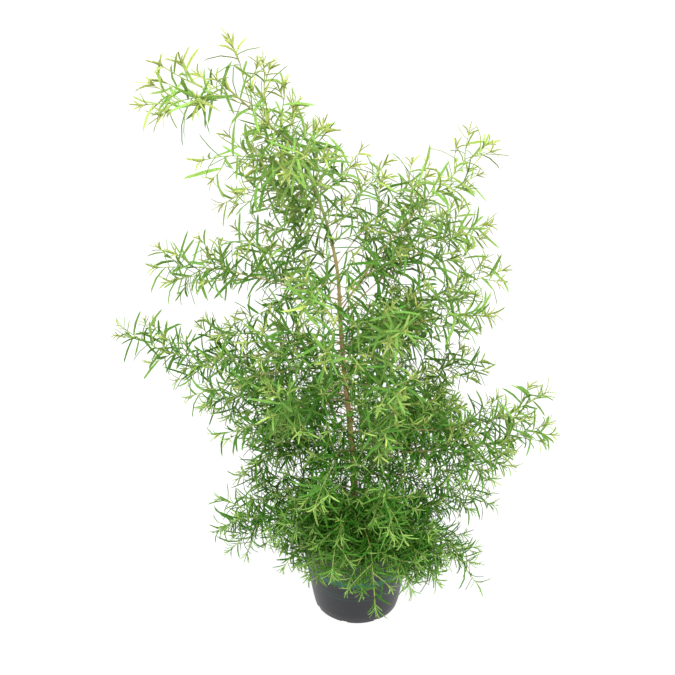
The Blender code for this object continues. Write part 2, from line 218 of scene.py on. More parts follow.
def fromTo(finish, value, low, high, newLow=0.0, newHigh=1.0):
    made = addNode(finish, "ShaderNodeMapRange", {"Value": value, "From Min": low, "From Max": high,
                                                  "To Min": newLow, "To Max": newHigh})
    return made.outputs["Result"]


def colourRamp(finish, value, stops):
    made = addNode(finish, "ShaderNodeValToRGB", {"Fac": value})
    elements = made.color_ramp.elements
    elements[0].position, elements[0].color = stops[0][0], (*stops[0][1], 1)
    elements[1].position, elements[1].color = stops[-1][0], (*stops[-1][1], 1)
    for place, colour in stops[1:-1]:
        elements.new(place).color = (*colour, 1)
    return made.outputs["Color"]


def mixColour(finish, share, first, second, blend="MIX"):
    first = first if isinstance(first, bpy.types.NodeSocket) else (*first, 1)
    second = second if isinstance(second, bpy.types.NodeSocket) else (*second, 1)
    made = addNode(finish, "ShaderNodeMix", {0: share, 6: first, 7: second},
                   data_type="RGBA", blend_type=blend)
    return made.outputs[2]


def addBump(finish, height, strength, distance):
    made = addNode(finish, "ShaderNodeBump",
                   {"Height": height, "Strength": strength, "Distance": distance})
    toShader(finish, "Normal", made.outputs["Normal"])


# The studio: a camera at the photograph's place, a white floor and soft light

studio = {
    "cameraPlace": (-0.029, -1.12, 0.92),
    "cameraDown": math.radians(23.37),  # how far the camera looks down
    "lens": 48,                         # mm
    "sensor": 36,                       # mm
    "seesTo": 200,                      # m
    "floorSize": 90,
    "floorColour": (0.16, 0.16, 0.16),
    "floorGlow": 0.84,                  # the floor is a lit white sheet, so that it shows no hard shadow
    "skyLow": 1.18,                     # light from the sides
    "skyHigh": 2.4,                     # light from straight above
    "lightPlace": (0.10, -1.5, 1.9),    # one soft light in front
    "lightSize": 1.0,
    "lightPower": 42,
    "lightAim": (0, 0, 0.4),
}


def makeStudio():
    cameraData = bpy.data.cameras.new("camera")
    cameraData.lens = studio["lens"]
    cameraData.sensor_width = studio["sensor"]
    cameraData.clip_end = studio["seesTo"]
    camera = addObject("camera", cameraData)
    camera.location = studio["cameraPlace"]
    camera.rotation_euler = (math.pi / 2 - studio["cameraDown"], 0, 0)
    bpy.context.scene.camera = camera

    floor = addShape(bpy.ops.mesh.primitive_plane_add, size=studio["floorSize"])
    floor.name = "floor"
    floor.data.materials.append(newMaterial("floorWhite", {
        "Base Color": (*studio["floorColour"], 1), "Roughness": 0.9, "Specular IOR Level": 0.0,
        "Emission Color": (1, 1, 1, 1), "Emission Strength": studio["floorGlow"]}))

    lightData = bpy.data.lights.new("softLight", "AREA")
    lightData.shape = "DISK"
    lightData.size = studio["lightSize"]
    lightData.energy = studio["lightPower"]
    light = addObject("softLight", lightData)
    light.visible_camera = False
    light.location = studio["lightPlace"]
    aim = Vector(studio["lightAim"]) - Vector(studio["lightPlace"])
    light.rotation_euler = aim.to_track_quat("-Z", "Y").to_euler()

    world = bpy.data.worlds.new("studioSky")
    world.use_nodes = True
    height = heightOf(world, addNode(world, "ShaderNodeTexCoord").outputs["Generated"])
    strength = fromTo(world, height, 0.0, 1.0, studio["skyLow"], studio["skyHigh"])
    background = world.node_tree.nodes["Background"]
    background.inputs["Color"].default_value = (1, 1, 1, 1)
    world.node_tree.links.new(strength, background.inputs["Strength"])
    bpy.context.scene.world = world
    bpy.context.scene.view_settings.view_transform = "Standard"
    print("studio is set")


# The pot: turned from one disc, with a collar, a lip and drain slots

pot = {
    "height": 0.128,
    "rimRadius": 0.0855,
    "collarHeight": 0.023,
    "collarStep": 0.0026,
    "collarTaper": 0.0010,
    "baseRadius": 0.0638,
    "wall": 0.0016,
    "wallSteps": 7,                     # rings up the wall
    "insideStep": 0.0008,               # the shoulder inside, under the collar
    "floor": 0.0020,
    "floorInset": 0.2,                  # a ring on the floor inside, as a share of the base radius
    "lipHeight": 0.0030,
    "lipOut": 0.0012,
    "edgeRound": 0.0006,
    "edgeAngle": math.radians(40),
    "footChamfer": 0.0028,
    "sides": 128,
    "drainCount": 8,
    "drainWidth": 0.009,
    "drainHeight": 0.0055,
    "drainInner": 0.0500,
    "drainPast": 0.004,                 # how far the cutters reach past the wall
    "drainRound": 0.0022,
    "drainFirst": math.radians(-107.5),
    "footRing": 0.047,                  # radius of the raised middle of the underside
    "footRise": 0.0012,
    "colour": (0.0105, 0.0110, 0.0130),
    "streakLift": 1.35,                 # how much lighter the streaks of the moulding are
    "dustColour": (0.055, 0.053, 0.052),
    "dustTop": 0.03,                    # below this height the wall is dustier
    "dust": (0.55, 0.12),               # at the foot, and from there up
    "bandColour": (0.008, 0.094, 0.044),
    "bandLow": 0.0765,
    "bandHigh": 0.0862,
    "bandSoft": (0.0015, 0.0020),       # of its lower and upper edge
    "bandWander": 0.0006,
    "lineHeights": (0.0570, 0.0500),    # two faint printed lines lower down
    "lineWidth": 0.0016,
    "lineStrength": 0.22,
}


def potWallRadius(height):
    top = pot["height"] - pot["collarHeight"]
    underCollar = pot["rimRadius"] - pot["collarStep"] - pot["collarTaper"]
    return pot["baseRadius"] + (underCollar - pot["baseRadius"]) * height / top


def potProfile():
    # (radius, height) from the edge of the underside, up outside, over the rim and down inside
    top, rim, wall, steps = pot["height"], pot["rimRadius"], pot["wall"], pot["wallSteps"]
    collarLow, lipLow = top - pot["collarHeight"], top - pot["lipHeight"]
    collarFoot = rim - pot["lipOut"] - pot["collarTaper"]
    outside = [(pot["baseRadius"], pot["footChamfer"])]
    outside += [(potWallRadius(collarLow * k / steps), collarLow * k / steps) for k in range(1, steps + 1)]
    over = [(collarFoot, collarLow), (rim - pot["lipOut"], lipLow), (rim, lipLow), (rim, top)]
    inside = [(rim - pot["lipOut"] - wall, top), (collarFoot - wall, collarLow + wall),
              (potWallRadius(collarLow) - wall, collarLow - pot["insideStep"]),
              (potWallRadius(pot["floor"]) - wall, pot["floor"])]
    return outside + over + inside


def makePot():
    startRadius = pot["baseRadius"] - pot["footChamfer"]
    piece = addShape(bpy.ops.mesh.primitive_circle_add, vertices=pot["sides"], radius=startRadius,
                     fill_type="NGON")
    piece.name = piece.data.name = "potShell"
    editAll(piece, "FACE")
    radius, height = startRadius, 0.0
    for newRadius, newHeight in potProfile():
        extrudeBy((0, 0, newHeight - height), (newRadius / radius, newRadius / radius, 1))
        radius, height = newRadius, newHeight
    bpy.ops.mesh.inset(thickness=pot["baseRadius"] * pot["floorInset"], depth=0)
    turnFacesOut()
    pickParts(piece, "polygons", lambda face: face.normal.z < -0.9 and abs(face.center.z) < 1e-5)
    bpy.ops.mesh.inset(thickness=startRadius - pot["footRing"], depth=0)
    bpy.ops.mesh.inset(thickness=pot["footRise"], depth=-pot["footRise"])
    objectMode()
    cutDrains(piece)
    bevel = piece.modifiers.new("Edges", "BEVEL")
    bevel.width = pot["edgeRound"]
    bevel.segments = 2
    bevel.limit_method = "ANGLE"
    bevel.angle_limit = pot["edgeAngle"]
    applyModifiers(piece)
    settle(piece, smoothTo=35)
    piece.data.materials.append(makePotMaterial())
    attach(piece, "root")
    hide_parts("pot")
    print("pot:", len(piece.data.polygons), "faces")


def cutDrains(piece):
    deep = pot["baseRadius"] + pot["drainPast"] - pot["drainInner"]
    middle = pot["drainInner"] + deep / 2
    for number in range(pot["drainCount"]):
        turn = pot["drainFirst"] + math.tau * number / pot["drainCount"]
        cutter = addShape(bpy.ops.mesh.primitive_cube_add, size=1, rotation=(0, 0, turn),
                          scale=(deep, pot["drainWidth"], pot["drainHeight"] * 2),
                          location=(middle * math.cos(turn), middle * math.sin(turn), 0))
        bpy.ops.object.transform_apply(location=False, rotation=False, scale=True)
        corners = cutter.modifiers.new("Round", "BEVEL")
        corners.width = pot["drainRound"]
        corners.segments = 4
        applyModifiers(cutter)
        slot = piece.modifiers.new("Drain", "BOOLEAN")
        slot.operation = "DIFFERENCE"
        slot.object = cutter
        applyModifiers(piece)
        bpy.data.objects.remove(cutter)


def makePotMaterial():
    finish = newMaterial("potPlastic", {"Specular IOR Level": 0.34})
    place = objectPlace(finish)
    height = heightOf(finish, place)
    wander = fromTo(finish, noise(finish, place, 60, 2), 0.3, 0.7, -pot["bandWander"], pot["bandWander"])
    level = maths(finish, "ADD", height, wander)
    mould = noise(finish, objectPlace(finish, (1, 1, 14)), 22, 4)      # streaks of the moulding
    scuffs = noise(finish, objectPlace(finish, (1, 1, 0.35)), 420, 4, 0.7)
    dustNear = fromTo(finish, height, 0.0, pot["dustTop"], *pot["dust"])
    dust = maths(finish, "MULTIPLY", dustNear, fromTo(finish, scuffs, 0.42, 0.75))
    base = mixColour(finish, fromTo(finish, mould, 0.3, 0.7), pot["colour"],
                     [c * pot["streakLift"] for c in pot["colour"]])
    base = mixColour(finish, dust, base, pot["dustColour"])
    lowSoft, highSoft = pot["bandSoft"]
    lowEdge = fromTo(finish, level, pot["bandLow"] - lowSoft, pot["bandLow"] + lowSoft)
    highEdge = fromTo(finish, level, pot["bandHigh"] + highSoft, pot["bandHigh"] - highSoft)
    band = maths(finish, "MULTIPLY", lowEdge, highEdge)
    for lineHeight in pot["lineHeights"]:
        away = maths(finish, "ABSOLUTE", maths(finish, "SUBTRACT", level, lineHeight))
        line = fromTo(finish, away, pot["lineWidth"] / 2, pot["lineWidth"], pot["lineStrength"], 0.0)
        band = maths(finish, "MAXIMUM", band, line)
    worn = maths(finish, "MULTIPLY", band, fromTo(finish, scuffs, 0.25, 0.5, 0.72, 1.0), clamp=True)
    toShader(finish, "Base Color", mixColour(finish, worn, base, pot["bandColour"]))
    rough = maths(finish, "ADD", fromTo(finish, mould, 0.3, 0.7, 0.34, 0.44),
                  maths(finish, "MULTIPLY", dust, 0.3))
    toShader(finish, "Roughness", rough)
    grain = maths(finish, "ADD", maths(finish, "MULTIPLY", noise(finish, place, 1400, 2), 0.4), mould)
    addBump(finish, grain, 0.18, 0.0005)
    return finish


# The compost: a lumpy crust with crumbs and bark chips on it

compost = {
    "level": 0.106,
    "swell": 0.0018,
    "fitGap": 0.0004,
    "topGap": 0.003,                    # it is as wide as the wall is inside, this far under the collar
    "rings": 26,
    "sides": 96,
    "lump": 0.0024,
    "grit": 0.0004,                     # how far each point is nudged, but not sideways in the outer ring
    "outerRing": 0.97,
    "crumbs": 420,
    "crumbSize": (0.0008, 0.0030),
    "crumbFlatness": 0.7,
    "chips": 90,
    "chipLength": (0.004, 0.012),
    "chipShape": (1, 0.28, 0.12),       # length, width and thickness of a chip 1 long
    "reach": 0.95,                      # how near the wall the bits lie, as a share
    "tilt": 0.5,                        # how far the bits lean, radians
    "dark": (0.016, 0.009, 0.006),
    "mid": (0.060, 0.034, 0.020),
    "pale": (0.190, 0.120, 0.072),
}


def compostRadius(height):
    return potWallRadius(height) - pot["wall"] - compost["fitGap"]


def compostHeight(x, y):
    around = math.hypot(x, y)
    edge = potWallRadius(compost["level"]) - pot["wall"]
    share = min(around / edge, 1)
    lumps = (math.sin(x * 310 + 1.3) * math.sin(y * 270 + 0.4) * 0.6
             + math.sin(x * 730 + y * 410) * math.sin(y * 690 - x * 350 + 2.0) * 0.4)
    return compost["level"] + compost["swell"] * (1 - share) + lumps * compost["lump"] * (1 - share ** 6)


def makeCompost():
    chance = random.Random(5)
    bottom = pot["floor"] + compost["fitGap"]
    radius = compostRadius(bottom)
    edge = compostRadius(pot["height"] - pot["collarHeight"] - compost["topGap"])
    piece = addShape(bpy.ops.mesh.primitive_circle_add, vertices=compost["sides"], radius=radius,
                     fill_type="NGON", location=(0, 0, bottom))
    editAll(piece, "FACE")
    extrudeBy((0, 0, compost["level"] - bottom), (edge / radius, edge / radius, 1))
    for _ in range(compost["rings"] - 1):
        bpy.ops.mesh.inset(thickness=edge / compost["rings"], depth=0)
    bpy.ops.mesh.poke()
    turnFacesOut()
    objectMode()
    bpy.ops.object.transform_apply(location=True, rotation=True, scale=True)
    grit = compost["grit"]
    for vert in piece.data.vertices:
        if vert.co.z > bottom + 0.01:       # the crust, not the underside
            vert.co.z = compostHeight(vert.co.x, vert.co.y) + chance.uniform(-1, 1) * grit
            if math.hypot(vert.co.x, vert.co.y) < edge * compost["outerRing"]:
                vert.co.x += chance.uniform(-1, 1) * grit
                vert.co.y += chance.uniform(-1, 1) * grit
    parts = [piece]
    crumb, chip = modelCrumb(), modelChip()
    for _ in range(compost["crumbs"]):
        size = chance.uniform(*compost["crumbSize"]) * chance.uniform(0.5, 1)
        shape = (size, size * chance.uniform(0.6, 1), size * compost["crumbFlatness"])
        parts.append(laidOnCompost(crumb, shape, edge, chance))
    for _ in range(compost["chips"]):
        length = chance.uniform(*compost["chipLength"])
        shape = [length * share for share in compost["chipShape"]]
        parts.append(laidOnCompost(chip, shape, edge, chance))
    for master in (crumb, chip):
        bpy.data.objects.remove(master)
    piece = joinPieces(parts, "compostFill")
    settle(piece, smoothTo=40)
    piece.data.materials.append(makeCompostMaterial())
    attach(piece, "root")
    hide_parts("soil")
    print("compost:", len(piece.data.polygons), "faces")


def modelCrumb():
    crumb = addShape(bpy.ops.mesh.primitive_ico_sphere_add, subdivisions=2, radius=1)
    chance = random.Random(3)
    for vert in crumb.data.vertices:
        vert.co *= chance.uniform(0.72, 1.15)
    return crumb


def modelChip():
    chip = addShape(bpy.ops.mesh.primitive_cube_add, size=1)
    editAll(chip)
    bpy.ops.mesh.subdivide(number_cuts=1)
    objectMode()
    chance = random.Random(4)
    for vert in chip.data.vertices:
        ragged = 1 - 0.5 * abs(vert.co.x) * chance.random()
        vert.co.y *= ragged * chance.uniform(0.7, 1.1)
        vert.co.z = vert.co.z * ragged + 0.5 * vert.co.x ** 2
    return chip


def laidOnCompost(master, size, edge, chance):
    around = edge * compost["reach"] * math.sqrt(chance.uniform(0.006, 1))     # clear of the trunk
    turn = chance.uniform(0, math.tau)
    x, y = around * math.cos(turn), around * math.sin(turn)
    copy = addObject("bit", master.data.copy())
    heading = Matrix.Rotation(chance.uniform(0, math.tau), 4, "Z")
    tilt = Matrix.Rotation(chance.uniform(-compost["tilt"], compost["tilt"]), 4, "Y")
    place = Matrix.Translation((x, y, compostHeight(x, y) + size[2] * 0.25))
    copy.data.transform(place @ (heading @ tilt) @ Matrix.Diagonal((*size, 1)))
    addAttribute(copy, "tone", [chance.random()] * len(copy.data.vertices))
    return copy


def makeCompostMaterial():
    finish = newMaterial("compostCrust", {"Roughness": 0.95, "Specular IOR Level": 0.15})
    place = objectPlace(finish)
    tone = attributeOf(finish, "tone")
    grains = noise(finish, place, 520, 5, 0.7)
    value = weighted(finish, grains, 0.6, noise(finish, place, 90, 3), 0.5)
    value = maths(finish, "ADD", value, maths(finish, "MULTIPLY", maths(finish, "POWER", tone, 3.0), 0.45))
    toShader(finish, "Base Color", colourRamp(finish, value, [
        (0.36, compost["dark"]), (0.60, compost["mid"]), (0.95, compost["pale"])]))
    addBump(finish, maths(finish, "ADD", grains, noise(finish, place, 1500, 3)), 0.8, 0.0012)
    return finish


# Lines that the plant grows along, as in the solids

trunk = {
    "line": [
        (0.000, 0.000, 0.055),
        (0.000, 0.000, 0.112),
        (-0.004, 0.000, 0.200),
        (-0.010, 0.000, 0.290),
        (-0.019, -0.010, 0.380),
        (-0.025, -0.020, 0.465),
        (-0.029, -0.030, 0.540),
        (-0.040, -0.045, 0.600),
        (-0.055, -0.070, 0.655),
        (-0.076, -0.110, 0.715),
        (-0.102, -0.140, 0.745),
        (-0.134, -0.185, 0.785),
    ],
    "footRadius": 0.0046,
    "topRadius": 0.0007,
    "coarseSteps": 2,                   # the solids' own steps a span, which the branches' roots follow
    "fineSteps": 10,
    "knotSwell": 0.22,                  # how much thicker the trunk is where a branch leaves it
    "knotReach": 0.0045,
    "ridge": 0.055,                     # how far the bark's ridges stand out, as a share of the radius
    "stubs": 26,                        # short broken twigs left on the bark
    "stubHeights": (0.125, 0.62),
    "stubLength": (0.0015, 0.006),      # how far they stand out of the bark
    "stubLift": (0.2, 0.9),
    "stubRadii": (0.0008, 0.0007, 0.0005),
    "paleBark": (0.49, 0.340, 0.155),
    "midBark": (0.33, 0.215, 0.085),
    "darkBark": (0.16, 0.085, 0.030),
    "topColour": (0.27, 0.28, 0.100),
    "greening": (0.38, 0.74),           # the heights between which the bark turns to the top's colour
}


def smoothLine(points, steps):
    # a Catmull-Rom curve through the points
    given = [Vector(p) for p in points]
    given = [given[0]] + given + [given[-1]]
    line = []
    for a, b, c, d in zip(given, given[1:], given[2:], given[3:]):
        for k in range(steps):
            t = k / steps
            line.append(0.5 * (2 * b + (c - a) * t + (2 * a - 5 * b + 4 * c - d) * t ** 2
                               + (3 * b - 3 * c + d - a) * t ** 3))
    return line + [given[-1]]


def pointAt(line, share):
    place = clamped(share, 0.99999) * (len(line) - 1)
    k = int(place)
    return line[k].lerp(line[k + 1], place - k)


def headingAt(line, share):
    return (pointAt(line, share + 0.06) - pointAt(line, share - 0.06)).normalized()


def lengthOf(line):
    return sum((b - a).length for a, b in zip(line, line[1:]))


def leaning(ahead, turn, lean):
    # the way that leans off ahead, to the side that the turn about it gives
    side = Matrix.Rotation(turn, 3, ahead) @ ahead.cross(up).normalized()
    return ahead * math.cos(lean) + side * math.sin(lean)


def bentLine(root, way, last, reach, steps, elbow=0.5):
    # out along way, then on along last; the elbow is a share of the reach
    middle = root + way * reach * elbow
    return smoothLine([root, middle, middle + last * reach * 0.5], steps)


def outward(turn, rise):
    return Vector((math.cos(turn), math.sin(turn), rise)).normalized()


coarseTrunk = smoothLine(trunk["line"], trunk["coarseSteps"])


def trunkRadius(height):
    low, high = trunk["line"][0][2], trunk["line"][-1][2]
    share = (height - low) / (high - low)
    return trunk["footRadius"] + (trunk["topRadius"] - trunk["footRadius"]) * share


def trunkPoint(height):
    for a, b in zip(coarseTrunk, coarseTrunk[1:]):
        if a.z <= height <= b.z:
            return a.lerp(b, (height - a.z) / (b.z - a.z))
    return coarseTrunk[-1]


# The side branches: height on the trunk, tip, how far the line lifts at a third and two thirds,
# and how full of twigs and leaves it is

branches = {
    "crown": [
        (0.780, (-0.213, -0.250, 0.784), (0.006, -0.001), 1.0),
        (0.764, (-0.133, -0.190, 0.833), (0.000, 0.006), 0.2),
        (0.771, (-0.197, -0.230, 0.818), (-0.002, -0.004), 0.2),
        (0.748, (-0.104, -0.170, 0.810), (0.000, 0.002), 0.4),
        (0.735, (-0.084, -0.150, 0.788), (0.002, 0.002), 0.1),
        (0.722, (-0.139, -0.110, 0.700), (0.008, 0.010), 0.1),
        (0.700, (-0.047, -0.078, 0.732), (0.000, 0.000), 0.1),
        (0.690, (-0.076, -0.240, 0.715), (0.015, 0.020), 0.3),
        (0.672, (-0.170, -0.195, 0.719), (0.008, 0.014), 0.6),
    ],
    "left": [
        (0.628, (-0.162, -0.115, 0.651), (0.016, 0.020), 0.5),
        (0.582, (-0.129, -0.050, 0.611), (0.005, 0.000), 0.9),
        (0.562, (-0.175, -0.010, 0.576), (0.004, 0.000), 0.3),
        (0.500, (-0.250, -0.088, 0.566), (0.006, 0.014), 1.0),
        (0.470, (-0.186, -0.055, 0.463), (0.000, -0.004), 0.4),
        (0.437, (-0.324, 0.000, 0.454), (-0.010, -0.055), 1.2),
        (0.398, (-0.213, -0.120, 0.408), (0.012, 0.006), 0.8),
        (0.352, (-0.224, 0.048, 0.308), (0.020, 0.010), 1.4),
        (0.335, (-0.191, -0.068, 0.323), (0.014, 0.000), 0.6),
        (0.270, (-0.167, -0.030, 0.234), (0.028, 0.024), 1.8),
        (0.232, (-0.196, -0.078, 0.176), (0.012, 0.008), 1.5),
        (0.200, (-0.178, -0.095, 0.157), (0.020, 0.018), 1.1),
        (0.186, (-0.109, -0.125, 0.191), (0.020, 0.022), 1.5),
        (0.165, (-0.105, -0.095, 0.126), (0.018, 0.018), 1.3),
    ],
    "right": [
        (0.652, (-0.003, -0.090, 0.707), (-0.002, -0.006), 0.1),
        (0.590, (0.030, -0.020, 0.678), (0.004, 0.000), 0.7),
        (0.550, (0.088, 0.032, 0.662), (0.008, 0.008), 0.9),
        (0.480, (0.149, -0.048, 0.708), (0.024, 0.010), 0.9),
        (0.470, (0.169, 0.036, 0.584), (0.022, 0.022), 1.2),
        (0.425, (0.190, 0.000, 0.533), (0.014, 0.008), 0.8),
        (0.385, (0.169, -0.065, 0.497), (0.030, 0.024), 1.0),
        (0.322, (0.179, 0.046, 0.380), (0.014, 0.006), 1.5),
        (0.290, (0.250, -0.050, 0.378), (-0.006, -0.036), 1.1),
        (0.268, (0.249, -0.080, 0.349), (-0.004, -0.028), 1.3),
        (0.245, (0.203, -0.095, 0.291), (0.014, 0.016), 0.8),
        (0.218, (0.200, 0.000, 0.167), (0.018, 0.008), 1.2),
        (0.180, (0.165, -0.048, 0.098), (0.022, 0.022), 0.9),
        (0.162, (0.108, -0.115, 0.118), (0.018, 0.022), 2.6),
        (0.150, (0.172, -0.085, 0.088), (0.024, 0.040), 0.8),
    ],
    "front": [
        (0.520, (-0.067, -0.195, 0.556), (0.014, 0.010), 0.9),
        (0.447, (0.048, -0.172, 0.519), (0.010, 0.000), 1.3),
        (0.420, (-0.139, -0.150, 0.495), (0.010, 0.004), 0.4),
        (0.408, (-0.042, -0.205, 0.507), (0.010, -0.005), 0.8),
        (0.365, (0.041, -0.190, 0.446), (0.010, 0.005), 1.0),
        (0.342, (-0.109, -0.185, 0.414), (0.010, 0.005), 1.1),
        (0.305, (0.028, -0.205, 0.397), (0.010, 0.010), 1.0),
        (0.258, (-0.058, -0.182, 0.283), (0.024, 0.028), 0.9),
        (0.208, (0.057, -0.162, 0.223), (0.024, 0.028), 1.0),
        (0.190, (-0.037, -0.155, 0.160), (0.024, 0.032), 1.0),
        (0.158, (0.022, -0.160, 0.103), (0.028, 0.052), 1.0),
        (0.142, (0.071, -0.140, 0.125), (0.020, 0.024), 1.2),
    ],
    "back": [
        (0.490, (0.121, 0.110, 0.574), (0.014, 0.010), 0.4),
        (0.455, (-0.141, 0.132, 0.495), (0.018, 0.010), 0.8),
        (0.375, (0.103, 0.142, 0.428), (0.018, 0.010), 2.2),
        (0.318, (-0.168, 0.100, 0.221), (0.022, 0.014), 2.2),
        (0.280, (-0.006, 0.188, 0.335), (0.022, 0.014), 0.8),
        (0.240, (0.154, 0.130, 0.273), (0.022, 0.014), 2.8),
        (0.172, (0.061, 0.160, 0.151), (0.030, 0.030), 1.4),
    ],
}

stem = {
    "steps": 6,                         # the solids' own steps on a branch
    "smoothing": 4,
    "fitGap": 0.0004,
    "radiusALength": 0.0040,
    "thinnestFoot": 0.0006,
    "tipRadius": 0.0005,
    "wander": 0.018,
    "leastLean": 0.35,
    "flare": 1.3,                       # how much thicker a branch is where it leaves the trunk
    "bare": 0.22,                       # the share at its foot that bears no leaves of its own
    "leafAge": (0.10, 0.36),            # how fresh its leaves are at the foot, and how much more at the tip; darker near the trunk, partly older leaves and partly painted shade of the inner foliage
    "tuftAge": 0.72,
    "greenFrom": (0.55, 0.90),          # the higher a branch between these, the greener its foot
    "mostGreen": 0.6,
    "tipYoung": 0.85,
    "woody": (0.29, 0.220, 0.095),
    "russet": (0.30, 0.250, 0.082),
    "green": (0.21, 0.30, 0.055),
}

twig = {
    "spacing": 0.037,
    "fullSpacing": 0.0190,              # with the twigs that the solids leave out
    "firstShare": 0.08,
    "addedFrom": 0.04,                  # where the added twigs start
    "addedCrowding": 0.75,              # below 1, they crowd towards the branch's tip
    "addedLength": (0.45, 2.0),         # share that they keep at the trunk, and the gain along the branch
    "lastShare": (0.60, 1.1, 0.92),     # foot, rise with the branch's length in metres, and most
    "shortest": 0.015,
    "longest": 0.092,
    # share of that on a very short branch, gain with its length in metres, and the height under
    # which twigs gain too
    "onBranch": (0.05, 4, 0.35),
    "reachRange": (0.65, 1.1),
    "lean": math.radians(46),
    "leanRange": (0.8, 1.25),
    "follow": 0.25,                     # how far a twig turns back towards its branch's own way
    "lift": 0.08,
    "footRadius": 0.00075,
    "tipRadius": 0.0004,
    # how fresh the leaves are on a twig at the branch's foot, and how much more towards its tip; darker near
    # the trunk, partly older leaves and partly painted shade
    "leafAge": (0.06, 0.38),
    "bare": (0.10, 0.35, 0.35),         # share of a twig, the gain near the trunk, and how far that goes
    "tuftAge": (0.5, 0.8),
    "footYoung": (0.35, 0.3),           # how green its foot is, and the gain along the branch
}

shoot = {                               # short side shoots on the twigs
    "shortestTwig": 0.045,
    "spacing": 0.065,
    "along": (0.15, 0.7),               # where the first stands on a twig, and the stretch that they take
    "length": (0.014, 0.030),
    "shorterOut": 0.4,                  # how much shorter they are at the twig's tip, as a share
    "lean": math.radians(42),
    "leanRange": (0.8, 1.2),
    "follow": 0.3,
    "lift": 0.1,
    "age": (0.25, 0.85),
    "leafSpacing": 0.0040,
    "leavesFrom": 0.2,
    "leafLength": 0.026,
    "leafLengthRange": (0.7, 1.15),
    "leafLengthAlong": (1.1, 0.45),     # at the foot, and how much less at the tip
    "leafLean": (70, 42),               # degrees at the foot, and how much less at the tip
    "leafLeanRange": (0.75, 1.2),
    "youngFrom": 0.6,
    "radius": 0.00045,
}


def branchFootRadius(length):
    return max(stem["radiusALength"] * length, stem["thinnestFoot"])


def branchLine(height, tip, lifts, chance):
    root, tip = trunkPoint(height), Vector(tip)
    chord = tip - root
    near = root + chord / 3 + up * lifts[0] * 1.5
    far = root + chord * 2 / 3 + up * lifts[1] * 1.5
    out = (near - root).normalized()
    trunkWay = (trunkPoint(height + 0.004) - trunkPoint(height - 0.004)).normalized()
    lean = max(out.cross(trunkWay).length, stem["leastLean"])
    clear = trunkRadius(height) + stem["fitGap"] + branchFootRadius(chord.length) * abs(out.dot(trunkWay))
    start = root + out * clear / lean
    level = chord.cross(up).normalized() * chord.length * stem["wander"]
    waves = chance.uniform(0, math.tau)
    line = []
    for k in range(stem["steps"] + 1):
        t = k / stem["steps"]
        point = (start * (1 - t) ** 3 + near * 3 * t * (1 - t) ** 2
                 + far * 3 * t ** 2 * (1 - t) + tip * t ** 3)
        line.append(point + level * math.sin(waves + 7 * t) * math.sin(math.pi * t))
    return line


def twigAt(branch, share, turn, chance, length):
    root, ahead = pointAt(branch, share), headingAt(branch, share)
    lean = twig["lean"] * chance.uniform(*twig["leanRange"])
    least, gain, lowPlace = twig["onBranch"]
    most = min(1.0, least + length * gain + max(0.0, lowPlace - root.z))
    reach = twig["shortest"] + twig["longest"] * (1 - share) ** 0.8
    reach *= chance.uniform(*twig["reachRange"]) * most
    first = (leaning(ahead, turn, lean) + up * twig["lift"]).normalized()
    last = (first + ahead * twig["follow"] + up * twig["lift"] * 2).normalized()
    return bentLine(root, first, last, reach, 3)


def lastTwigShare(length):
    foot, rise, most = twig["lastShare"]
    return min(foot + rise * length, most)


def twigLines(branch, chance):
    # the solids' own twigs
    length = lengthOf(branch)
    count = max(3, round(length / twig["spacing"]))
    startTurn = chance.uniform(0, math.tau)
    first, last = twig["firstShare"], lastTwigShare(length)
    twigs = []
    for k in range(count):
        share = first + (last - first) * k / (count - 1)
        twigs.append((share, twigAt(branch, share, startTurn + k * goldenTurn, chance, length)))
    return twigs


def addedTwigs(branch, already, fullness, chance):
    # more twigs, shorter near the trunk
    length = lengthOf(branch)
    count = max(3, round(length * fullness / twig["fullSpacing"])) - already
    startTurn = chance.uniform(0, math.tau)
    first, last = twig["addedFrom"], lastTwigShare(length)
    least, gain = twig["addedLength"]
    twigs = []
    for k in range(count):
        share = first + (last - first) * ((k + chance.uniform(0.2, 0.8)) / count) ** twig["addedCrowding"]
        line = twigAt(branch, share, startTurn + k * goldenTurn, chance, length)
        kept = min(1.0, least + gain * share)
        twigs.append((share, [line[0].lerp(point, kept) for point in line]))
    return twigs


# The leaf: modelled once, then copied to every place

leaf = {
    "length": 0.040,
    "lengthRange": (0.60, 1.14),
    "spacing": 0.0050,
    "width": 0.0036,
    "thickness": 0.0013,
    "channel": 0.00022,                 # how far the edges rise above the midrib
    "rings": ((0.14, 0.82), (0.46, 1.0), (0.82, 0.78)),  # (share of length, share of width)
    "footWidth": 0.42,
    "footThickness": 0.7,
    "youngReach": 0.015,                # the leaves this near a stem's tip are shorter, paler and lean less
    "youngShorter": 0.55,
    "lean": math.radians(70),
    "tipLean": math.radians(38),
    "leanRange": (0.8, 1.2),
    "droop": 0.10,
    "bend": (0.60, 0.45),               # mean and spread of how far a leaf curls back, radians
    "leastBend": 0.05,
    "youngBend": 0.35,                  # how much more a young leaf curls
    "twist": (0.80, 0.45),              # and of how far its blade is turned about its own length
    "leastWidth": 0.44,                 # the shorter a leaf, the narrower, down to this share
    "widthRange": (0.88, 1.12),
    "youngNarrower": 0.16,
    "youngFresher": 0.8,
    "youthSpread": 0.06,
    "lowSize": 0.74,                    # size of the leaves low on the plant, which are finer and closer
    "lowTo": (0.15, 0.45),              # the heights between which they grow to full size
    "oldColour": (0.011, 0.106, 0.001),
    "matureColour": (0.065, 0.184, 0.027),
    "freshColour": (0.194, 0.334, 0.074),
    "limeColour": (0.292, 0.336, 0.092),
    "brownTip": (0.16, 0.11, 0.03),
    "toneRange": (0.72, 1.30),          # how dark and how light single leaves are
    "roughness": 0.50,
}

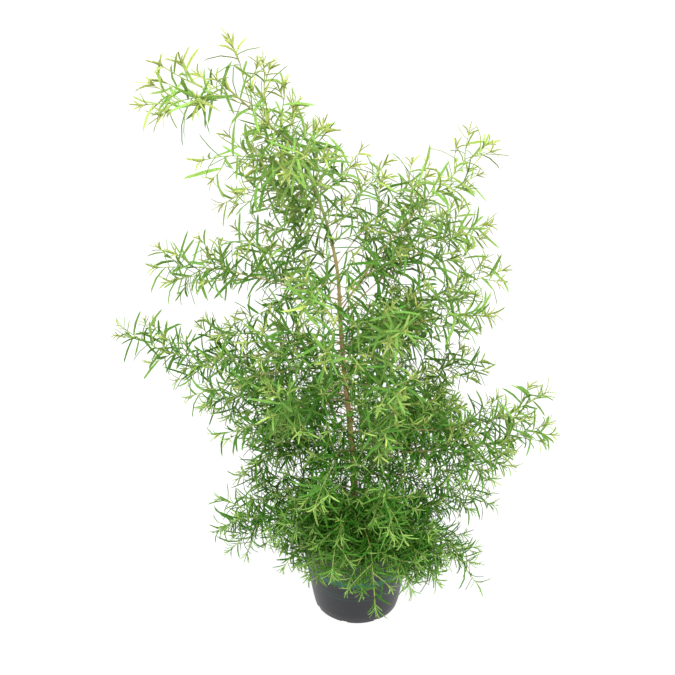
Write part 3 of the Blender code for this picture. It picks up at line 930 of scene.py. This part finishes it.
tuft = {                                # the close bunch of young leaves at a stem's tip
    "count": 4,
    "from": 0.95,                       # share of the stem
    "step": 0.008,
    "lean": (56, 10),                   # degrees, and how much less for each next leaf
    "leanRange": (0.7, 1.3),
    "length": (0.30, 0.52),             # share of a leaf
}


def leafSize(height):
    low, high = leaf["lowTo"]
    return leaf["lowSize"] + (1 - leaf["lowSize"]) * clamped((height - low) / (high - low))


def leafPlaces(line, bareShare, fullness, chance):
    # where leaves grow on a stem: (root, way, heading of the stem, length, share along it, how young)
    leafy = lengthOf(line) * (1 - bareShare)
    size = leafSize(line[0].z)
    count = max(4, round(leafy * math.sqrt(fullness) / leaf["spacing"] / size))
    turn = chance.uniform(0, math.tau)
    places = []
    for k in range(count):
        share = bareShare + (1 - bareShare) * (k + 0.7) / count
        young = max(0.0, 1 - leafy * (count - k - 0.7) / count / leaf["youngReach"])
        ahead = headingAt(line, share)
        lean = leaf["lean"] + (leaf["tipLean"] - leaf["lean"]) * young
        way = leaning(ahead, turn + k * goldenTurn, lean * chance.uniform(*leaf["leanRange"]))
        shorter = 1 - leaf["youngShorter"] * young
        length = leaf["length"] * chance.uniform(*leaf["lengthRange"]) * shorter * math.sqrt(size)
        places.append((pointAt(line, share), way, ahead, length, share, young))
    return places


def tuftPlaces(line, chance):
    ahead = headingAt(line, 1.0)
    turn = chance.uniform(0, math.tau)
    lean, less = tuft["lean"]
    places = []
    for k in range(tuft["count"]):
        way = leaning(ahead, turn + k * goldenTurn,
                      math.radians(lean - less * k) * chance.uniform(*tuft["leanRange"]))
        length = leaf["length"] * chance.uniform(*tuft["length"])
        places.append((pointAt(line, tuft["from"] + tuft["step"] * k), way, ahead, length, 1.0, 1.0))
    return places


def modelLeaf():
    piece = addShape(bpy.ops.mesh.primitive_circle_add, vertices=4, radius=0.5, fill_type="NGON",
                     rotation=(math.pi / 2, 0, 0))
    bpy.ops.object.transform_apply(location=True, rotation=True, scale=True)
    editAll(piece)
    share = leaf["footWidth"]
    bpy.ops.transform.resize(value=(leaf["width"] * share, 1, leaf["thickness"] * leaf["footThickness"]))
    along = 0.0
    for newAlong, newShare in leaf["rings"]:
        move = (0, (newAlong - along) * leaf["length"], 0)
        bpy.ops.mesh.extrude_region_move(TRANSFORM_OT_translate={"value": move})
        bpy.ops.transform.resize(value=(newShare / share, 1, 1))
        along, share = newAlong, newShare
    bpy.ops.mesh.extrude_region_move(TRANSFORM_OT_translate={"value": (0, (1 - along) * leaf["length"], 0)})
    bpy.ops.mesh.merge(type="CENTER")
    pickParts(piece, "vertices", lambda vert: abs(vert.co.x) > leaf["width"] * 0.2)
    bpy.ops.transform.translate(value=(0, 0, leaf["channel"]))
    turnFacesOut()
    objectMode()
    return piece


def readLeaf(piece):
    # the master leaf as an array of points and faces as corner lists
    points = np.array([vert.co for vert in piece.data.vertices])
    faces = [list(face.vertices) for face in piece.data.polygons]
    return points, faces


def leafMesh(name, master, leaves):
    # every leaf is the master bent, twisted and stretched; rows are leaves, columns its points
    points, faces = master
    along = points[:, 1] / leaf["length"]
    numbers = {key: np.array([item[key] for item in leaves]) for key in leaves[0]}
    ways, faceWays = numbers["way"], numbers["ahead"]
    faceWays = faceWays - ways * (faceWays * ways).sum(1)[:, None]
    faceWays /= np.linalg.norm(faceWays, axis=1)[:, None]
    bends, twists = numbers["bend"][:, None], numbers["twist"][:, None]
    lengths, widths = numbers["length"][:, None], numbers["width"][:, None]
    angle, half = bends * (0.5 - along), bends / 2
    forward = (np.sin(half) - np.sin(angle)) / bends * lengths
    raised = (np.cos(angle) - np.cos(half)) / bends * lengths
    wide, turned, tilted = points[:, 0] * widths, np.cos(twists), np.sin(twists)
    across = wide * turned - points[:, 2] * tilted
    proud = wide * tilted + points[:, 2] * turned
    place = (numbers["root"][:, None] + ways[:, None] * (forward - np.sin(angle) * proud)[..., None]
             + faceWays[:, None] * (raised + np.cos(angle) * proud)[..., None]
             + np.cross(ways, faceWays)[:, None] * across[..., None])
    count, each = len(leaves), len(points)
    allFaces = [[corner + each * k for corner in face] for k in range(count) for face in faces]
    mesh = bpy.data.meshes.new(name)
    mesh.from_pydata(place.reshape(-1, 3).tolist(), [], allFaces)
    piece = addObject(name, mesh)
    addAttribute(piece, "youthAndPaintedLight", np.repeat(numbers["youthAndPaintedLight"], each))
    addAttribute(piece, "tone", np.repeat(numbers["tone"], each))
    addAttribute(piece, "along", np.tile(along, count))
    addAttribute(piece, "across", np.tile(np.abs(points[:, 0]) / (leaf["width"] / 2), count))
    return piece


def makeLeafMaterial():
    finish = newMaterial("leafGreen", {
        "Roughness": leaf["roughness"], "Specular IOR Level": 0.06, "Subsurface Weight": 0.45,
        "Subsurface Radius": (1.0, 1.0, 0.5), "Subsurface Scale": 0.0012})
    place = objectPlace(finish)
    youthAndPaintedLight, tone = attributeOf(finish, "youthAndPaintedLight"), attributeOf(finish, "tone")
    along, across = attributeOf(finish, "along"), attributeOf(finish, "across")
    # the green by age, with the painted shade and painted light that the attribute carries
    colour = colourRamp(finish, youthAndPaintedLight, [
        (0.0, leaf["oldColour"]), (0.35, leaf["matureColour"]),
        (0.70, leaf["freshColour"]), (1.0, leaf["limeColour"])])
    lighter = fromTo(finish, tone, 0.0, 1.0, *leaf["toneRange"])
    grey = addNode(finish, "ShaderNodeCombineColor", {"Red": lighter, "Green": lighter, "Blue": lighter})
    colour = mixColour(finish, 1.0, colour, grey.outputs["Color"], "MULTIPLY")
    midrib = fromTo(finish, across, 0.0, 0.30, 0.30, 0.0)
    colour = mixColour(finish, midrib, colour, [c * 1.15 for c in leaf["limeColour"]])
    mottle = fromTo(finish, noise(finish, place, 900, 2), 0.35, 0.65, 0.0, 0.35)
    colour = mixColour(finish, mottle, colour, leaf["matureColour"], "SOFT_LIGHT")
    tip = fromTo(finish, along, 0.94, 1.0, 0.0, 0.5)
    toShader(finish, "Base Color", mixColour(finish, tip, colour, leaf["brownTip"]))
    addBump(finish, noise(finish, place, 2600, 2), 0.15, 0.0002)
    return finish


def makeStemMaterial():
    finish = newMaterial("stemBark", {"Roughness": 0.62, "Specular IOR Level": 0.35})
    place = objectPlace(finish)
    young = attributeOf(finish, "young")
    fleck = fromTo(finish, noise(finish, place, 700, 4, 0.65), 0.3, 0.7, -0.10, 0.10)
    colour = colourRamp(finish, maths(finish, "ADD", young, fleck), [
        (0.0, stem["woody"]), (0.40, stem["russet"]), (0.66, stem["green"]), (1.0, leaf["limeColour"])])
    toShader(finish, "Base Color", colour)
    addBump(finish, noise(finish, place, 1600, 3), 0.4, 0.0004)
    return finish


# Growing the whole plant

room = {                                # how far leaves and twigs stay off the pot, compost, floor and box
    "overRim": 0.003,
    "insideRim": 0.008,
    "overCompost": 0.006,
    "besideRim": 0.004,
    "overFloor": 0.006,
    "pastBox": 0.008,                   # how far they may pass the solids' box
}

freshnessAndPaintedLight = {                           # the higher a leaf grows, the fresher its green, partly real new growth and partly painted shade that darkens the lower leaves; most at the right, which is painted light
    "low": 0.12,
    "high": 0.80,
    "start": -0.24,
    "gain": 0.64,
    "power": 1.4,
    # painted light: leaves at the right are made lighter, as if that side were more lit
    "paintedLightRightGain": 0.14,
    "paintedLightRightTo": 0.15,
}


def stemsToMesh(name, stems, roundness):
    # one bevelled curve of many stems, each a list of (point, radius, how young it is)
    unitRadius = 0.001
    curve = bpy.data.curves.new(name, "CURVE")
    curve.dimensions = "3D"
    curve.bevel_depth = unitRadius
    curve.bevel_resolution = roundness
    for rows in stems:
        spline = curve.splines.new("POLY")
        spline.points.add(len(rows) - 1)
        spline.points.foreach_set("co", [value for point, _, _ in rows for value in (*point, 1)])
        spline.points.foreach_set("radius", [radius / unitRadius for _, radius, _ in rows])
    makeActive(addObject(name, curve))
    bpy.ops.object.convert(target="MESH")
    piece = bpy.context.object
    editAll(piece)
    bpy.ops.mesh.fill_holes(sides=0)        # closes both ends of every stem
    turnFacesOut()
    objectMode()
    young = [value for rows in stems for _, _, value in rows]
    ringSize = len(piece.data.vertices) // len(young)
    addAttribute(piece, "young", np.repeat(young, ringSize))
    return piece


def inRoom(point):
    around = math.hypot(point.x, point.y)
    overPot = point.z > pot["height"] + room["overRim"]
    inMouth = (around < pot["rimRadius"] - room["insideRim"]
               and point.z > compost["level"] + room["overCompost"])
    beside = around > pot["rimRadius"] + room["besideRim"] and point.z > room["overFloor"]
    inBox = all(low - room["pastBox"] < value < high + room["pastBox"]
                for low, value, high in zip(cadBounds[0], point, cadBounds[1]))
    return (overPot or inMouth or beside) and inBox


def lineInRoom(line):
    return all(inRoom(point) for point in line)


# a leaf's freshness by its place: painted shade low down, partly with real new growth higher up, and painted
# light at the right
def freshnessAndPaintedLightAt(point):
    high = clamped((point.z - freshnessAndPaintedLight["low"]) / (freshnessAndPaintedLight["high"] - freshnessAndPaintedLight["low"]))
    right = clamped(point.x / freshnessAndPaintedLight["paintedLightRightTo"]) * min(high * 3, 1.0)
    return (freshnessAndPaintedLight["start"] + freshnessAndPaintedLight["gain"] * high ** freshnessAndPaintedLight["power"]
            + freshnessAndPaintedLight["paintedLightRightGain"] * right)


def leafOf(place, age, chance):
    # a leaf's own numbers; age is how fresh its stem is there, from 0 to 1
    root, way, ahead, length, _, young = place
    bend = chance.gauss(*leaf["bend"]) + leaf["youngBend"] * young
    if abs(bend) < leaf["leastBend"]:
        bend = leaf["leastBend"]
    twist = chance.gauss(*leaf["twist"]) * chance.choice((-1, 1))
    width = leaf["leastWidth"] + (1 - leaf["leastWidth"]) * length / leaf["length"]
    width *= chance.uniform(*leaf["widthRange"]) * (1 - leaf["youngNarrower"] * young)
    # the leaf's green takes painted shade on the lower leaves and painted light at the right
    youthAndPaintedLight = age + (1 - age) * young * leaf["youngFresher"] + freshnessAndPaintedLightAt(root)
    youthAndPaintedLight += chance.gauss(0, leaf["youthSpread"])
    return {
        "root": root, "way": (way - up * leaf["droop"] * (1 - young)).normalized(), "ahead": ahead,
        "length": length, "bend": bend, "twist": twist, "width": width * leafSize(root.z),
        "youthAndPaintedLight": clamped(youthAndPaintedLight), "tone": chance.random(),
    }


def growShoots(line, chance):
    # short side shoots on a twig, mostly fresh
    length = lengthOf(line)
    if length <= shoot["shortestTwig"]:
        return []
    count = round(length / shoot["spacing"])
    turn = chance.uniform(0, math.tau)
    first, stretch = shoot["along"]
    shoots = []
    for k in range(count):
        share = first + stretch * (k + chance.random()) / count
        root, ahead = pointAt(line, share), headingAt(line, share)
        lean = shoot["lean"] * chance.uniform(*shoot["leanRange"])
        way = leaning(ahead, turn + k * goldenTurn, lean)
        reach = chance.uniform(*shoot["length"]) * (1 - shoot["shorterOut"] * share)
        last = (way + ahead * shoot["follow"] + up * shoot["lift"]).normalized()
        shoots.append(bentLine(root, way, last, reach, 2))
    return shoots


def shootLeaves(line, chance):
    count = max(4, round(lengthOf(line) / shoot["leafSpacing"]))
    turn = chance.uniform(0, math.tau)
    first, youngFrom = shoot["leavesFrom"], shoot["youngFrom"]
    lean, leanLess = shoot["leafLean"]
    long, longLess = shoot["leafLengthAlong"]
    places = []
    for k in range(count):
        share = first + (1 - first) * (k + 0.5) / count
        ahead = headingAt(line, share)
        turned = math.radians(lean - leanLess * share) * chance.uniform(*shoot["leafLeanRange"])
        way = leaning(ahead, turn + k * goldenTurn, turned)
        length = shoot["leafLength"] * chance.uniform(*shoot["leafLengthRange"]) * (long - longLess * share)
        young = max(0.0, (share - youngFrom) / (1 - youngFrom))
        places.append((pointAt(line, share), way, ahead, length, share, young))
    return places


def taper(line, foot, tip, youngFoot, youngTip):
    last = len(line) - 1
    return [(point, foot + (tip - foot) * k / last, youngFoot + (youngTip - youngFoot) * k / last)
            for k, point in enumerate(line)]


def leavesOf(places, age, chance):
    return [leafOf(place, age, chance) for place in places]


def growBranch(number, height, tip, lifts, fullness):
    chance = random.Random(number)
    coarse = branchLine(height, tip, lifts, chance)
    line = smoothLine(coarse, stem["smoothing"])
    twigs = twigLines(coarse, chance)
    # leaves nearer the trunk are darker: partly older, partly painted shade
    age, gain = stem["leafAge"]
    leaves = [leafOf(place, age + gain * place[4], chance)
              for place in leafPlaces(line, stem["bare"], fullness, chance)]
    foot = branchFootRadius(lengthOf(coarse))
    low, high = stem["greenFrom"]
    greenness = clamped((height - low) / (high - low), stem["mostGreen"])
    rows = taper(line, foot, stem["tipRadius"], greenness, stem["tipYoung"])
    flare = foot * stem["flare"]
    stems = [[(trunkPoint(height), flare, greenness), (line[0], flare, greenness)] + rows[1:]]
    leaves += leavesOf(tuftPlaces(line, chance), stem["tuftAge"], chance)
    more = random.Random(number + 1000)     # the added twigs and shoots have draws of their own
    # twigs nearer the trunk bear darker leaves: partly older, partly painted shade
    age, gain = twig["leafAge"]
    leastBare, bareGain, bareTo = twig["bare"]
    footYoung, youngGain = twig["footYoung"]
    for share, twigLine in twigs + addedTwigs(coarse, len(twigs), fullness, more):
        if not lineInRoom(twigLine):
            continue
        bare = leastBare + bareGain * max(0.0, 1 - share / bareTo)
        young = footYoung + youngGain * share
        stems.append(taper(twigLine, twig["footRadius"], twig["tipRadius"], young, 1.0))
        leaves += leavesOf(leafPlaces(twigLine, bare, fullness, chance), age + gain * share, chance)
        leaves += [leafOf(place, chance.uniform(*twig["tuftAge"]), chance)
                   for place in tuftPlaces(twigLine, chance)]
        for shootLine in growShoots(twigLine, more):
            if lineInRoom(shootLine):
                stems.append(taper(shootLine, shoot["radius"], shoot["radius"] * 0.7, 0.7, 1.0))
                fresh = more.uniform(*shoot["age"])
                leaves += leavesOf(shootLeaves(shootLine, more), fresh, more)
    return stems, [item for item in leaves if leafClears(item)]


trunkShoots = {                         # short leafy shoots straight off the trunk, in groups
    "topFrom": 0.70,                    # above this height the trunk itself bears leaves
    "topAge": 0.35,
    "topFullness": 1.5,
    "bare": 0.10,
    "turnSpread": 0.4,
    "elbow": (0.5, 0.65),               # where a rising and a falling shoot bends
    "young": (0.55, 0.85),              # how green a shoot is at its foot and tip
    "leafAge": (0.05, 0.45),            # with the group's own age added
    "usual": {"rise": 0.25, "age": 0.0, "fullness": 1.4},   # where a group doesn't say
    "groups": (
        {"heights": (0.125, 0.270), "count": 20, "length": (0.024, 0.056), "lift": (0.15, 0.75)},
        {"heights": (0.270, 0.585), "count": 11, "length": (0.024, 0.056), "lift": (0.15, 0.75)},
        {"heights": (0.585, 0.745), "count": 22, "length": (0.024, 0.056), "lift": (0.15, 0.75)},
        {"heights": (0.125, 0.175), "count": 26, "length": (0.040, 0.080), "lift": (0.05, 0.45)},
        {"heights": (0.125, 0.155), "count": 26, "length": (0.070, 0.122), "lift": (0.02, 0.24),
         "facing": -0.95, "spread": 0.9, "rise": -0.6, "age": 0.22},        # over the front of the rim
        {"heights": (0.125, 0.155), "count": 22, "length": (0.078, 0.112), "lift": (0.02, 0.18),
         "facing": -2.15, "spread": 0.5, "rise": -0.35, "age": 0.25},       # over its left side
        {"heights": (0.235, 0.310), "count": 7, "length": (0.055, 0.095), "lift": (-0.10, 0.20),
         "facing": -2.9, "spread": 0.6},
        {"heights": (0.600, 0.700), "count": 10, "length": (0.050, 0.092), "lift": (-0.05, 0.45),
         "facing": -2.7, "spread": 0.9, "age": 0.14, "fullness": 1.0},     # the thick part under the arch
        {"heights": (0.125, 0.165), "count": 11, "length": (0.095, 0.135), "lift": (0.02, 0.22),
         "facing": -0.15, "spread": 0.55, "rise": -0.5, "age": 0.12},      # over the rim's right side
    ),
}

trunkWindow = {                         # where fewer leaves grow before the trunk, so that it shows
    "heights": (0.285, 0.575),
    "drop": 0.42,                       # how far a leaf's shadow on the trunk falls for each metre before it
    "side": 0.0035,
    "thinned": 0.6,
}


def growTrunkShoots():
    chance = random.Random(21)
    stems, leaves = [], []
    for own in trunkShoots["groups"]:
        group = {**trunkShoots["usual"], **own}
        (low, high), count, rise = group["heights"], group["count"], group["rise"]
        for k in range(count):
            root = trunkPoint(low + (high - low) * (k + chance.random()) / count)
            turn = k * goldenTurn + chance.uniform(-trunkShoots["turnSpread"], trunkShoots["turnSpread"])
            if "facing" in group:
                turn = group["facing"] + chance.uniform(-group["spread"], group["spread"])
            way = outward(turn, chance.uniform(*group["lift"]))
            reach = chance.uniform(*group["length"])
            elbow = trunkShoots["elbow"][0 if rise > 0 else 1]
            line = bentLine(root, way, (way + up * rise).normalized(), reach, 3, elbow)
            if lineInRoom(line):
                stems.append(taper(line, twig["footRadius"], twig["tipRadius"], *trunkShoots["young"]))
                places = leafPlaces(line, trunkShoots["bare"], group["fullness"], chance)
                places += tuftPlaces(line, chance)
                leaves += [leafOf(place, group["age"] + chance.uniform(*trunkShoots["leafAge"]), chance)
                           for place in places]
    top = smoothLine([point for point in trunk["line"] if point[2] > trunkShoots["topFrom"]], 4)
    places = leafPlaces(top, 0.0, trunkShoots["topFullness"], chance)
    leaves += leavesOf(places, trunkShoots["topAge"], chance)
    return stems, [item for item in leaves if leafClears(item)]


def hidesTrunk(item):
    # whether a leaf crosses the part of the trunk that shows, as seen from in front and a little above
    low, high = trunkWindow["heights"]
    offsets = []
    for share in (0.0, 0.5, 1.0):
        point = item["root"] + item["way"] * item["length"] * share
        ahead = -point.y
        height = point.z - trunkWindow["drop"] * ahead
        if ahead < 0.0 or not low < height < high:
            return False
        offsets.append(point.x - trunkPoint(height).x)
    return min(offsets) < trunkWindow["side"] and max(offsets) > -trunkWindow["side"]


def leafClears(item):
    tip = item["root"] + item["way"] * item["length"]
    if item["tone"] < trunkWindow["thinned"] and hidesTrunk(item):
        return False
    return lineInRoom([tip, item["root"].lerp(tip, 0.5), item["root"].lerp(tip, 0.15)])


def makePlant(everyBranch):
    master = modelLeaf()
    shape = readLeaf(master)
    bpy.data.objects.remove(master)
    leafFinish, stemFinish = makeLeafMaterial(), makeStemMaterial()
    grown = [(f"leafyBranch{number + 1:02d}", growBranch(number, *row))
             for number, row in enumerate(everyBranch)]
    grown.append(("trunkShoots", growTrunkShoots()))
    total = 0
    for number, (name, (stems, leaves)) in enumerate(grown):
        foliage = leafMesh("foliage", shape, leaves)
        foliage.data.materials.append(leafFinish)
        wood = stemsToMesh("wood", stems, 1)
        wood.data.materials.clear()
        wood.data.materials.append(stemFinish)
        piece = joinPieces([foliage, wood], name)
        settle(piece, smoothTo=75)
        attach(piece, "root")
        if number < len(everyBranch):
            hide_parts(f"branch_{number + 1:02d}")
        total += len(leaves)
    print("branches:", len(everyBranch), "with", total, "leaves")


# The trunk

def makeTrunk(everyBranch):
    chance = random.Random(11)
    rows = []
    for point in smoothLine(trunk["line"], trunk["fineSteps"]):
        swell = sum(math.exp(-((point.z - row[0]) / trunk["knotReach"]) ** 2) for row in everyBranch)
        rows.append((point, trunkRadius(point.z) * (1 + trunk["knotSwell"] * min(swell, 1.3)), 0.0))
    stubs = []
    for _ in range(trunk["stubs"]):
        height = chance.uniform(*trunk["stubHeights"])
        root = trunkPoint(height)
        turn = chance.uniform(0, math.tau)
        way = outward(turn, chance.uniform(*trunk["stubLift"]))
        reach = trunkRadius(height) + chance.uniform(*trunk["stubLength"])
        stubs.append([(root + way * reach * share, radius, 0.0)
                      for share, radius in zip((0.0, 0.7, 1.0), trunk["stubRadii"])])
    wood = stemsToMesh("wood", stubs, 2)
    core = stemsToMesh("trunkCore", [rows], 6)
    addRidges(core)
    piece = joinPieces([core, wood], "trunkWood")
    settle(piece, smoothTo=60)
    piece.data.materials.clear()
    piece.data.materials.append(makeBarkMaterial())
    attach(piece, "root")
    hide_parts("trunk")
    print("trunk:", len(piece.data.polygons), "faces")


def addRidges(piece):
    # shallow ridges that run up the bark
    for vert in piece.data.vertices:
        axis = trunkPoint(vert.co.z)
        out = Vector((vert.co.x - axis.x, vert.co.y - axis.y, 0))
        turn = math.atan2(out.y, out.x)
        ridge = (math.sin(turn * 5 + vert.co.z * 60) * math.sin(vert.co.z * 170 + turn * 2)
                 + 0.6 * math.sin(turn * 9 - vert.co.z * 110))
        vert.co += out.normalized() * ridge * trunkRadius(vert.co.z) * trunk["ridge"]


def makeBarkMaterial():
    finish = newMaterial("trunkBark", {"Roughness": 0.78, "Specular IOR Level": 0.25})
    strips = noise(finish, objectPlace(finish, (1, 1, 0.12)), 620, 5, 0.65)    # long papery strips
    patches = noise(finish, objectPlace(finish, (1, 1, 0.5)), 130, 3)
    colour = colourRamp(finish, weighted(finish, strips, 0.65, patches, 0.45), [
        (0.36, trunk["darkBark"]), (0.52, trunk["midBark"]), (0.72, trunk["paleBark"])])
    topShare = fromTo(finish, heightOf(finish, objectPlace(finish)), *trunk["greening"])
    toShader(finish, "Base Color", mixColour(finish, topShare, colour, trunk["topColour"]))
    addBump(finish, strips, 0.7, 0.0010)
    return finish


everyBranch = sorted(row for rows in branches.values() for row in rows)     # as the solids are numbered
makeStudio()
makePot()
makeCompost()
makePlant(everyBranch)
makeTrunk(everyBranch)
